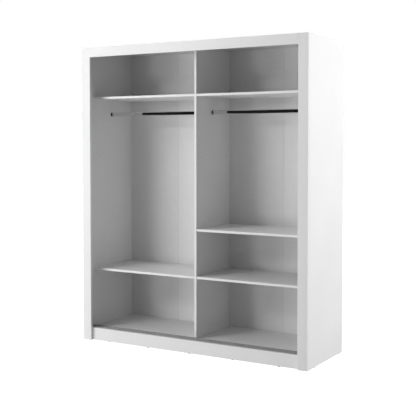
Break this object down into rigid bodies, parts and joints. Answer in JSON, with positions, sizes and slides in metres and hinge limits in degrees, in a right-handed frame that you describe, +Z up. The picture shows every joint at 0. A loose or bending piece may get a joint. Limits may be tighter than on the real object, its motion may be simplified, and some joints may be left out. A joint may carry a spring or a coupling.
{
  "type": "sliding door wardrobe",
  "caption": "Tall two-bay wardrobe carcass for sliding doors, without its doors: front frame, partition, shelves, hanging rails and door tracks.",
  "frame": {"origin": "on the floor, under the middle of the carcass", "axes": "+X to the right seen from the front, +Y to the back, +Z up; the open front faces -Y"},
  "size_m": [1.8, 0.6, 2.15],
  "materials": {
    "white_board": "white melamine faced chipboard, satin",
    "front_frame": "white foil wrapped board, satin",
    "back_sheet": "white lacquered hardboard, satin",
    "joining_strip": "white extruded plastic",
    "chrome": "polished",
    "track_aluminium": "anodised, satin",
    "glide_plastic": "moulded grey plastic",
    "pin_steel": "nickel plated"
  },
  "bodies": {
    "carcass": {"back_sheet_1": "back_sheet", "back_sheet_2": "back_sheet", "back_sheet_3": "back_sheet", "back_sheet_4": "back_sheet", "bottom_panel": "white_board", "bottom_track": "track_aluminium", "joining_strip_left": "joining_strip", "joining_strip_right": "joining_strip", "partition": "white_board", "pin_lower_shelf_left_left_front": "pin_steel", "pin_lower_shelf_left_left_rear": "pin_steel", "pin_lower_shelf_left_right_front": "pin_steel", "pin_lower_shelf_left_right_rear": "pin_steel", "pin_lower_shelf_right_left_front": "pin_steel", "pin_lower_shelf_right_left_rear": "pin_steel", "pin_lower_shelf_right_right_front": "pin_steel", "pin_lower_shelf_right_right_rear": "pin_steel", "pin_middle_shelf_right_left_front": "pin_steel", "pin_middle_shelf_right_left_rear": "pin_steel", "pin_middle_shelf_right_right_front": "pin_steel", "pin_middle_shelf_right_right_rear": "pin_steel", "plinth_cross_support": "white_board", "plinth_front": "white_board", "plinth_glide_1": "glide_plastic", "plinth_glide_2": "glide_plastic", "plinth_glide_3": "glide_plastic", "plinth_glide_4": "glide_plastic", "plinth_glide_5": "glide_plastic", "plinth_rear": "white_board", "rail_bracket_left_bay_left": "chrome", "rail_bracket_left_bay_right": "chrome", "rail_bracket_right_bay_left": "chrome", "rail_bracket_right_bay_right": "chrome", "rear_glide_1": "glide_plastic", "rear_glide_2": "glide_plastic", "rear_glide_3": "glide_plastic", "side_glide_left_front": "glide_plastic", "side_glide_left_rear": "glide_plastic", "side_glide_right_front": "glide_plastic", "side_glide_right_rear": "glide_plastic", "side_panel_left": "white_board", "side_panel_right": "white_board", "stile_left": "front_frame", "stile_right": "front_frame", "top_fascia": "front_frame", "top_panel": "white_board", "top_shelf_left": "white_board", "top_shelf_right": "white_board", "top_track": "track_aluminium"},
    "hanging_rail_left": {"hanging_rail_left": "chrome"},
    "hanging_rail_right": {"hanging_rail_right": "chrome"},
    "lower_shelf_left": {"lower_shelf_left": "white_board"},
    "lower_shelf_right": {"lower_shelf_right": "white_board"},
    "middle_shelf_right": {"middle_shelf_right": "white_board"}
  },
  "joints": [
    {"name": "rail_left_lift", "type": "slide", "parent": "carcass", "child": "hanging_rail_left", "axis": [0, 0, 1], "range_m": [0, 0.06]},
    {"name": "rail_right_lift", "type": "slide", "parent": "carcass", "child": "hanging_rail_right", "axis": [0, 0, 1], "range_m": [0, 0.06]},
    {"name": "lower_shelf_left_lift", "type": "slide", "parent": "carcass", "child": "lower_shelf_left", "axis": [0, 0, 1], "range_m": [0, 0.04]},
    {"name": "lower_shelf_right_lift", "type": "slide", "parent": "carcass", "child": "lower_shelf_right", "axis": [0, 0, 1], "range_m": [0, 0.04]},
    {"name": "middle_shelf_right_lift", "type": "slide", "parent": "carcass", "child": "middle_shelf_right", "axis": [0, 0, 1], "range_m": [0, 0.04]}
  ]
}
